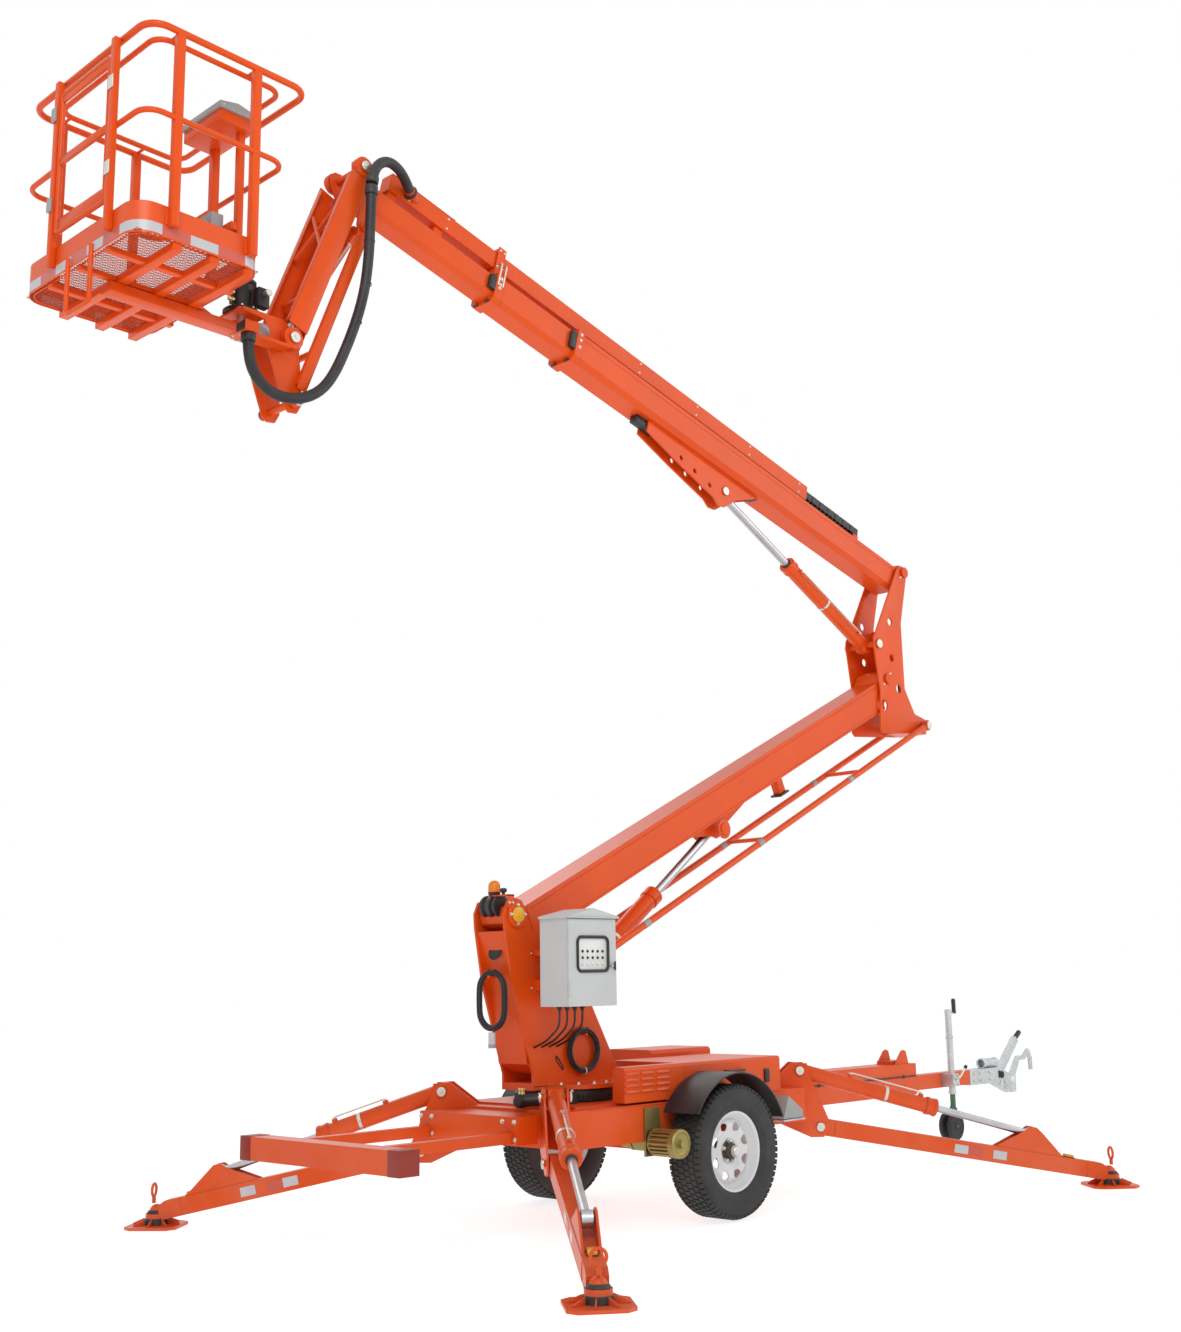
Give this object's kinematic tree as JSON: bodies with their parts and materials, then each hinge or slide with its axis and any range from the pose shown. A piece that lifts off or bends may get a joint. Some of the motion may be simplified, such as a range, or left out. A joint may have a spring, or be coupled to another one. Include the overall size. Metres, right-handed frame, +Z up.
{
  "type": "towable articulating boom lift",
  "caption": "Trailer-mounted articulating boom lift on hydraulic outriggers, with telescopic upper boom, jib and rotating basket.",
  "frame": {"origin": "on the ground under the middle of the machine's length and width", "axes": "+X toward the tow coupling, +Y to the machine's left, +Z up"},
  "size_m": [8.756, 3.845, 5.9282],
  "materials": {
    "amber_plastic": "gloss",
    "black_paint": "satin",
    "black_plastic": "matte",
    "black_rubber": "matte",
    "galvanised": "satin",
    "green_paint": "satin",
    "grey_paint": "satin",
    "olive_metal": "satin",
    "orange_paint": "semi_gloss",
    "rod_chrome": "polished",
    "tyre_rubber": "matte",
    "white_paint": "satin"
  },
  "bodies": {
    "chassis": {"chassis_frame": "orange_paint", "rear_bumper": "orange_paint", "drawbar": "orange_paint", "coupling": "galvanised", "mudguards": "black_plastic", "power_cover": "orange_paint", "slewing_ring": "black_paint", "traction_motors": "olive_metal"},
    "wheel_left": {"tyre_left": "tyre_rubber", "rim_left": "white_paint"},
    "wheel_right": {"tyre_right": "tyre_rubber", "rim_right": "white_paint"},
    "traction_roller_left": {"traction_roller_left": "olive_metal"},
    "traction_roller_right": {"traction_roller_right": "olive_metal"},
    "jockey_fork": {"jockey_fork": "green_paint"},
    "jockey_wheels": {"jockey_wheels": "black_rubber"},
    "turret": {"turret_frame": "orange_paint", "control_cabinet": "grey_paint", "beacon": "amber_plastic", "coil_rear": "black_rubber", "coil_side": "black_rubber", "cable_plug": "grey_paint"},
    "cabinet_door": {"cabinet_door": "grey_paint"},
    "lower_boom": {"lower_boom": "orange_paint"},
    "link_rods": {"link_rods": "orange_paint"},
    "lower_barrel": {"lower_barrel": "orange_paint"},
    "lower_rod": {"lower_rod": "rod_chrome"},
    "knuckle": {"knuckle": "orange_paint", "valve_block": "black_paint"},
    "upper_boom": {"upper_boom": "orange_paint", "cable_chain": "black_plastic"},
    "upper_boom_mid": {"upper_boom_mid": "orange_paint"},
    "upper_boom_inner": {"upper_boom_inner": "orange_paint", "hose_tray": "orange_paint", "hose_elbow": "black_rubber"},
    "upper_barrel": {"upper_barrel": "orange_paint"},
    "upper_rod": {"upper_rod": "rod_chrome"},
    "jib_head": {"jib_head": "orange_paint", "jib_hose": "black_rubber"},
    "jib_arm": {"jib_arm": "orange_paint"},
    "jib_link": {"jib_link": "orange_paint"},
    "jib_bracket": {"jib_bracket": "orange_paint"},
    "jib_barrel": {"jib_barrel": "orange_paint"},
    "jib_rod": {"jib_rod": "rod_chrome"},
    "basket": {"basket_floor": "orange_paint", "basket_rails": "orange_paint", "control_box": "grey_paint"},
    "basket_gate": {"basket_gate": "orange_paint"},
    "leg_front_left": {"leg_front_left": "orange_paint"},
    "leg_barrel_front_left": {"leg_barrel_front_left": "orange_paint"},
    "leg_rod_front_left": {"leg_rod_front_left": "rod_chrome"},
    "leg_front_right": {"leg_front_right": "orange_paint"},
    "leg_barrel_front_right": {"leg_barrel_front_right": "orange_paint"},
    "leg_rod_front_right": {"leg_rod_front_right": "rod_chrome"},
    "leg_rear_left": {"leg_rear_left": "orange_paint"},
    "leg_barrel_rear_left": {"leg_barrel_rear_left": "orange_paint"},
    "leg_rod_rear_left": {"leg_rod_rear_left": "rod_chrome"},
    "leg_rear_right": {"leg_rear_right": "orange_paint"},
    "leg_barrel_rear_right": {"leg_barrel_rear_right": "orange_paint"},
    "leg_rod_rear_right": {"leg_rod_rear_right": "rod_chrome"}
  },
  "joints": [
    {"name": "wheel_left", "type": "hinge", "parent": "chassis", "child": "wheel_left", "pos_m": [-0.482, 0.677, 0.378], "axis": [0, 1, 0], "continuous": true},
    {"name": "wheel_right", "type": "hinge", "parent": "chassis", "child": "wheel_right", "pos_m": [-0.482, -0.677, 0.378], "axis": [0, 1, 0], "continuous": true},
    {"name": "traction_roller_left", "type": "hinge", "parent": "chassis", "child": "traction_roller_left", "pos_m": [-0.937, 0.652, 0.455], "axis": [0, 1, 0], "continuous": true},
    {"name": "traction_roller_right", "type": "hinge", "parent": "chassis", "child": "traction_roller_right", "pos_m": [-0.937, -0.652, 0.455], "axis": [0, 1, 0], "continuous": true},
    {"name": "jockey_swivel", "type": "hinge", "parent": "chassis", "child": "jockey_fork", "pos_m": [2.948, -0.112, 0.452], "axis": [0, 0, 1], "continuous": true},
    {"name": "jockey_roll", "type": "hinge", "parent": "jockey_fork", "child": "jockey_wheels", "pos_m": [2.908, -0.112, 0.225], "axis": [0, 1, 0], "continuous": true},
    {"name": "leg_fold_front_left", "type": "hinge", "parent": "chassis", "child": "leg_front_left", "pos_m": [0.707, 0.48, 0.412], "axis": [0.6691, -0.7431, 0], "range_deg": [0, 86]},
    {"name": "leg_barrel_front_left", "type": "hinge", "parent": "chassis", "child": "leg_barrel_front_left", "pos_m": [0.61782, 0.3997, 0.757], "axis": [0.6691, -0.7431, 0], "range_deg": [-1, 92.81]},
    {"name": "leg_rod_front_left", "type": "slide", "parent": "leg_barrel_front_left", "child": "leg_rod_front_left", "axis": [0.7147, 0.6435, -0.274], "range_m": [-0.4753, 0.005]},
    {"name": "leg_fold_front_right", "type": "hinge", "parent": "chassis", "child": "leg_front_right", "pos_m": [0.707, -0.48, 0.412], "axis": [-0.6691, -0.7431, 0], "range_deg": [0, 86]},
    {"name": "leg_barrel_front_right", "type": "hinge", "parent": "chassis", "child": "leg_barrel_front_right", "pos_m": [0.61782, -0.3997, 0.757], "axis": [-0.6691, -0.7431, 0], "range_deg": [-1, 92.81]},
    {"name": "leg_rod_front_right", "type": "slide", "parent": "leg_barrel_front_right", "child": "leg_rod_front_right", "axis": [0.7147, -0.6435, -0.274], "range_m": [-0.4753, 0.005]},
    {"name": "leg_fold_rear_left", "type": "hinge", "parent": "chassis", "child": "leg_rear_left", "pos_m": [-1.688, 0.543, 0.41], "axis": [0.7771, 0.6293, 0], "range_deg": [0, 86]},
    {"name": "leg_barrel_rear_left", "type": "hinge", "parent": "chassis", "child": "leg_barrel_rear_left", "pos_m": [-1.61248, 0.44974, 0.735], "axis": [0.7771, 0.6293, 0], "range_deg": [-1, 91.63]},
    {"name": "leg_rod_rear_left", "type": "slide", "parent": "leg_barrel_rear_left", "child": "leg_rod_rear_left", "axis": [-0.5966, 0.7367, -0.3184], "range_m": [-0.4591, 0.005]},
    {"name": "leg_fold_rear_right", "type": "hinge", "parent": "chassis", "child": "leg_rear_right", "pos_m": [-1.688, -0.543, 0.41], "axis": [-0.7771, 0.6293, 0], "range_deg": [0, 86]},
    {"name": "leg_barrel_rear_right", "type": "hinge", "parent": "chassis", "child": "leg_barrel_rear_right", "pos_m": [-1.61248, -0.44974, 0.735], "axis": [-0.7771, 0.6293, 0], "range_deg": [-1, 91.63]},
    {"name": "leg_rod_rear_right", "type": "slide", "parent": "leg_barrel_rear_right", "child": "leg_rod_rear_right", "axis": [-0.5966, -0.7367, -0.3184], "range_m": [-0.4591, 0.005]},
    {"name": "turret_slew", "type": "hinge", "parent": "chassis", "child": "turret", "pos_m": [-1.082, 0, 0.745], "axis": [0, 0, 1], "range_deg": [-90, 265]},
    {"name": "cabinet_door", "type": "hinge", "parent": "turret", "child": "cabinet_door", "pos_m": [-1.548, -0.505, 1.44], "axis": [0, 0, 1], "range_deg": [-110, 0]},
    {"name": "lower_boom_lift", "type": "hinge", "parent": "turret", "child": "lower_boom", "pos_m": [-1.582, 0, 1.71], "axis": [0, -1, 0], "range_deg": [-25.2, 42]},
    {"name": "link_rods", "type": "hinge", "parent": "turret", "child": "link_rods", "pos_m": [-1.108, 0, 1.397], "axis": [0, -1, 0], "range_deg": [-26.2, 43]},
    {"name": "knuckle_level", "type": "hinge", "parent": "lower_boom", "child": "knuckle", "pos_m": [2.32595, 0, 3.54894], "axis": [0, -1, 0], "range_deg": [-43, 26.2]},
    {"name": "lower_barrel", "type": "hinge", "parent": "turret", "child": "lower_barrel", "pos_m": [-1.082, 0, 1.26], "axis": [0, -1, 0], "range_deg": [-26.44, 43.4]},
    {"name": "lower_rod", "type": "slide", "parent": "lower_barrel", "child": "lower_rod", "axis": [0.8036, 0, 0.5952], "range_m": [-0.2919, 0.4832]},
    {"name": "upper_boom_lift", "type": "hinge", "parent": "knuckle", "child": "upper_boom", "pos_m": [2.63695, 0, 4.43694], "axis": [0, 1, 0], "range_deg": [-14, 50]},
    {"name": "upper_barrel", "type": "hinge", "parent": "knuckle", "child": "upper_barrel", "pos_m": [2.226, 0, 3.808], "axis": [0, 1, 0], "range_deg": [-14.11, 47.84]},
    {"name": "upper_rod", "type": "slide", "parent": "upper_barrel", "child": "upper_rod", "axis": [-0.8928, 0, 0.4505], "range_m": [-0.1827, 0.6396]},
    {"name": "boom_extend_mid", "type": "slide", "parent": "upper_boom", "child": "upper_boom_mid", "axis": [-0.969, 0, 0.247], "range_m": [-0.3, 1.2]},
    {"name": "boom_extend_inner", "type": "slide", "parent": "upper_boom_mid", "child": "upper_boom_inner", "axis": [-0.969, 0, 0.247], "range_m": [-0.305, 1.205]},
    {"name": "jib_head_level", "type": "hinge", "parent": "upper_boom_inner", "child": "jib_head", "pos_m": [-2.68086, 0, 5.72019], "axis": [0, 1, 0], "range_deg": [-51, 15]},
    {"name": "jib_lift", "type": "hinge", "parent": "jib_head", "child": "jib_arm", "pos_m": [-2.732, 0, 5.82], "axis": [0, 1, 0], "range_deg": [0, 95]},
    {"name": "jib_link", "type": "hinge", "parent": "jib_head", "child": "jib_link", "pos_m": [-2.702, 0, 5.48], "axis": [0, 1, 0], "range_deg": [-1, 96]},
    {"name": "jib_bracket_level", "type": "hinge", "parent": "jib_arm", "child": "jib_bracket", "pos_m": [-3.182, 0, 4.67], "axis": [0, 1, 0], "range_deg": [-96, 1]},
    {"name": "jib_barrel", "type": "hinge", "parent": "jib_head", "child": "jib_barrel", "pos_m": [-2.702, 0, 5.48], "axis": [0, 1, 0], "range_deg": [-1, 98.36]},
    {"name": "jib_rod", "type": "slide", "parent": "jib_barrel", "child": "jib_rod", "axis": [-0.5098, 0, -0.8603], "range_m": [-0.005, 0.506]},
    {"name": "basket_rotate", "type": "hinge", "parent": "jib_bracket", "child": "basket", "pos_m": [-3.412, 0, 4.762], "axis": [0, 0, -1], "range_deg": [-60, 60]},
    {"name": "basket_gate", "type": "hinge", "parent": "basket", "child": "basket_gate", "pos_m": [-4.361, -0.285, 5.33], "axis": [0, 0, 1], "range_deg": [-90, 0]}
  ],
  "couplings": [
    {"joint": "leg_barrel_front_left", "follows": "leg_fold_front_left", "ratio": 1.0676},
    {"joint": "leg_rod_front_left", "follows": "leg_fold_front_left", "m_per_rad": -0.31335},
    {"joint": "leg_barrel_front_right", "follows": "leg_fold_front_right", "ratio": 1.0676},
    {"joint": "leg_rod_front_right", "follows": "leg_fold_front_right", "m_per_rad": -0.31335},
    {"joint": "leg_barrel_rear_left", "follows": "leg_fold_rear_left", "ratio": 1.0538},
    {"joint": "leg_rod_rear_left", "follows": "leg_fold_rear_left", "m_per_rad": -0.30252},
    {"joint": "leg_barrel_rear_right", "follows": "leg_fold_rear_right", "ratio": 1.0538},
    {"joint": "leg_rod_rear_right", "follows": "leg_fold_rear_right", "m_per_rad": -0.30252},
    {"joint": "link_rods", "follows": "lower_boom_lift", "ratio": 1},
    {"joint": "knuckle_level", "follows": "lower_boom_lift", "ratio": -1},
    {"joint": "lower_barrel", "follows": "lower_boom_lift", "ratio": 1.0095},
    {"joint": "lower_rod", "follows": "lower_boom_lift", "m_per_rad": 0.65237},
    {"joint": "upper_barrel", "follows": "upper_boom_lift", "ratio": 0.9367},
    {"joint": "upper_rod", "follows": "upper_boom_lift", "m_per_rad": 0.72714},
    {"joint": "boom_extend_inner", "follows": "boom_extend_mid", "ratio": 1},
    {"joint": "jib_head_level", "follows": "upper_boom_lift", "ratio": -1},
    {"joint": "jib_link", "follows": "jib_lift", "ratio": 1},
    {"joint": "jib_bracket_level", "follows": "jib_lift", "ratio": -1},
    {"joint": "jib_barrel", "follows": "jib_lift", "ratio": 1.0249},
    {"joint": "jib_rod", "follows": "jib_lift", "m_per_rad": 0.30218}
  ]
}
